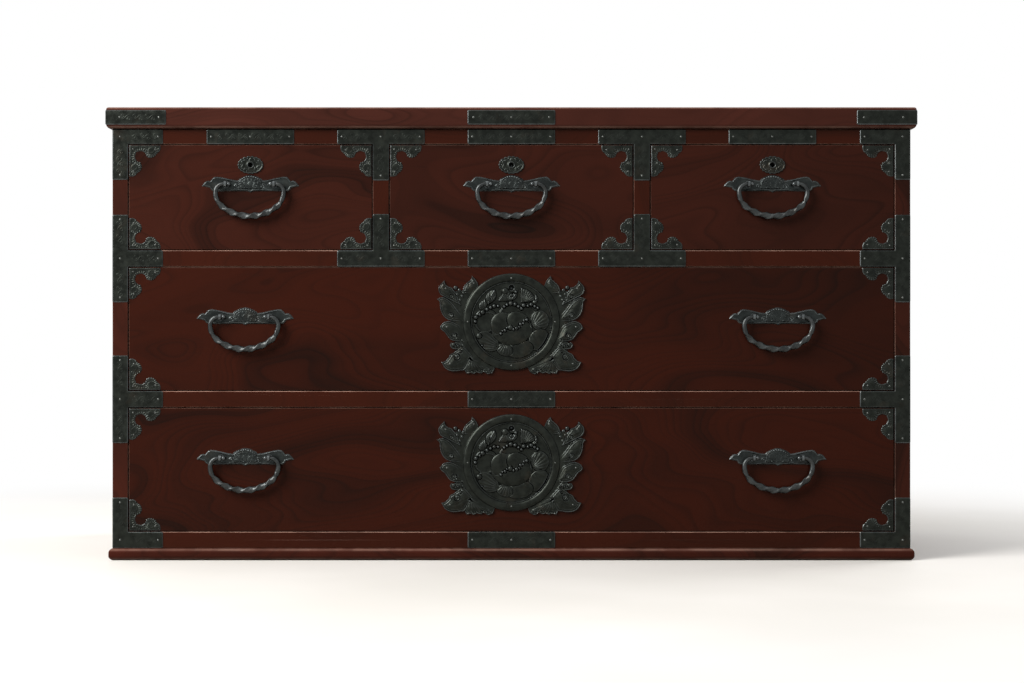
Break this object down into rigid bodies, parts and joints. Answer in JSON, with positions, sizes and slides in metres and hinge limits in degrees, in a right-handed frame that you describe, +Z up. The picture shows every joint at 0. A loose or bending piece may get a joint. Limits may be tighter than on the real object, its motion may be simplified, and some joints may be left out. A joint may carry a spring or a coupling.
{
  "type": "chest of drawers",
  "caption": "Low wooden chest with three small drawers over two full-width ones, iron corner plates, bail handles, lock plates and working bolts",
  "frame": {"origin": "centre of the body's footprint, on the base board's underside", "axes": "+X to the right seen from the front, the front faces -Y, +Z up"},
  "size_m": [1.2042, 0.4528, 0.672],
  "materials": {
    "lacquered_wood": "semi-gloss maroon lacquer over dark figured grain",
    "bare_wood": "planed, unfinished",
    "black_iron": "satin blackened, relief and edges slightly worn",
    "bright_nails": "satin steel"
  },
  "bodies": {
    "root": {"top_board": "lacquered_wood", "side_panel_left": "lacquered_wood", "side_panel_right": "lacquered_wood", "back_boards": "bare_wood", "base_board": "lacquered_wood", "front_rails": "lacquered_wood", "partitions": "lacquered_wood", "dust_boards": "bare_wood", "drawer_runners": "bare_wood", "drawer_stops": "bare_wood", "top_board_plates": "black_iron", "frame_plates": "black_iron", "frame_nails": "bright_nails"},
    "left_drawer": {"left_drawer_front": "lacquered_wood", "left_drawer_box": "bare_wood", "left_corner_plates": "black_iron", "left_handle_plate": "black_iron", "left_handle_posts": "black_iron", "left_lock_plate": "black_iron", "left_lock_case": "black_iron"},
    "left_bolt": {"left_lock_bolt": "bright_nails"},
    "left_bail": {"left_bail": "black_iron"},
    "centre_drawer": {"centre_drawer_front": "lacquered_wood", "centre_drawer_box": "bare_wood", "centre_corner_plates": "black_iron", "centre_handle_plate": "black_iron", "centre_handle_posts": "black_iron", "centre_lock_plate": "black_iron", "centre_lock_case": "black_iron"},
    "centre_bolt": {"centre_lock_bolt": "bright_nails"},
    "centre_bail": {"centre_bail": "black_iron"},
    "right_drawer": {"right_drawer_front": "lacquered_wood", "right_drawer_box": "bare_wood", "right_corner_plates": "black_iron", "right_handle_plate": "black_iron", "right_handle_posts": "black_iron", "right_lock_plate": "black_iron", "right_lock_case": "black_iron"},
    "right_bolt": {"right_lock_bolt": "bright_nails"},
    "right_bail": {"right_bail": "black_iron"},
    "upper_wide_drawer": {"upper_wide_drawer_front": "lacquered_wood", "upper_wide_drawer_box": "bare_wood", "upper_wide_corner_plates": "black_iron", "upper_wide_handle_plate": "black_iron", "upper_wide_handle_posts": "black_iron", "upper_wide_lock_plate": "black_iron", "upper_wide_lock_case": "black_iron"},
    "upper_wide_bolt": {"upper_wide_lock_bolt": "bright_nails"},
    "upper_wide_bail_left": {"upper_wide_bail_left": "black_iron"},
    "upper_wide_bail_right": {"upper_wide_bail_right": "black_iron"},
    "lower_wide_drawer": {"lower_wide_drawer_front": "lacquered_wood", "lower_wide_drawer_box": "bare_wood", "lower_wide_corner_plates": "black_iron", "lower_wide_handle_plate": "black_iron", "lower_wide_handle_posts": "black_iron", "lower_wide_lock_plate": "black_iron", "lower_wide_lock_case": "black_iron"},
    "lower_wide_bolt": {"lower_wide_lock_bolt": "bright_nails"},
    "lower_wide_bail_left": {"lower_wide_bail_left": "black_iron"},
    "lower_wide_bail_right": {"lower_wide_bail_right": "black_iron"}
  },
  "joints": [
    {"name": "left_drawer_slide", "type": "slide", "parent": "root", "child": "left_drawer", "axis": [0, -1, 0], "range_m": [0, 0.3]},
    {"name": "left_bolt_slide", "type": "slide", "parent": "left_drawer", "child": "left_bolt", "axis": [0, 0, 1], "range_m": [0, 0.0065]},
    {"name": "left_bail_hinge", "type": "hinge", "parent": "left_drawer", "child": "left_bail", "pos_m": [-0.38767, -0.228, 0.558], "axis": [-1, 0, 0], "range_deg": [-4, 184]},
    {"name": "centre_drawer_slide", "type": "slide", "parent": "root", "child": "centre_drawer", "axis": [0, -1, 0], "range_m": [0, 0.3]},
    {"name": "centre_bolt_slide", "type": "slide", "parent": "centre_drawer", "child": "centre_bolt", "axis": [0, 0, 1], "range_m": [0, 0.0065]},
    {"name": "centre_bail_hinge", "type": "hinge", "parent": "centre_drawer", "child": "centre_bail", "pos_m": [0, -0.228, 0.558], "axis": [-1, 0, 0], "range_deg": [-4, 184]},
    {"name": "right_drawer_slide", "type": "slide", "parent": "root", "child": "right_drawer", "axis": [0, -1, 0], "range_m": [0, 0.3]},
    {"name": "right_bolt_slide", "type": "slide", "parent": "right_drawer", "child": "right_bolt", "axis": [0, 0, 1], "range_m": [0, 0.0065]},
    {"name": "right_bail_hinge", "type": "hinge", "parent": "right_drawer", "child": "right_bail", "pos_m": [0.38767, -0.228, 0.558], "axis": [-1, 0, 0], "range_deg": [-4, 184]},
    {"name": "upper_wide_drawer_slide", "type": "slide", "parent": "root", "child": "upper_wide_drawer", "axis": [0, -1, 0], "range_m": [0, 0.3]},
    {"name": "upper_wide_bolt_slide", "type": "slide", "parent": "upper_wide_drawer", "child": "upper_wide_bolt", "axis": [0, 0, 1], "range_m": [0, 0.0065]},
    {"name": "upper_wide_bail_left_hinge", "type": "hinge", "parent": "upper_wide_drawer", "child": "upper_wide_bail_left", "pos_m": [-0.3955, -0.228, 0.361], "axis": [-1, 0, 0], "range_deg": [-4, 184]},
    {"name": "upper_wide_bail_right_hinge", "type": "hinge", "parent": "upper_wide_drawer", "child": "upper_wide_bail_right", "pos_m": [0.3955, -0.228, 0.361], "axis": [-1, 0, 0], "range_deg": [-4, 184]},
    {"name": "lower_wide_drawer_slide", "type": "slide", "parent": "root", "child": "lower_wide_drawer", "axis": [0, -1, 0], "range_m": [0, 0.3]},
    {"name": "lower_wide_bolt_slide", "type": "slide", "parent": "lower_wide_drawer", "child": "lower_wide_bolt", "axis": [0, 0, 1], "range_m": [0, 0.0065]},
    {"name": "lower_wide_bail_left_hinge", "type": "hinge", "parent": "lower_wide_drawer", "child": "lower_wide_bail_left", "pos_m": [-0.3955, -0.228, 0.152], "axis": [-1, 0, 0], "range_deg": [-4, 184]},
    {"name": "lower_wide_bail_right_hinge", "type": "hinge", "parent": "lower_wide_drawer", "child": "lower_wide_bail_right", "pos_m": [0.3955, -0.228, 0.152], "axis": [-1, 0, 0], "range_deg": [-4, 184]}
  ]
}
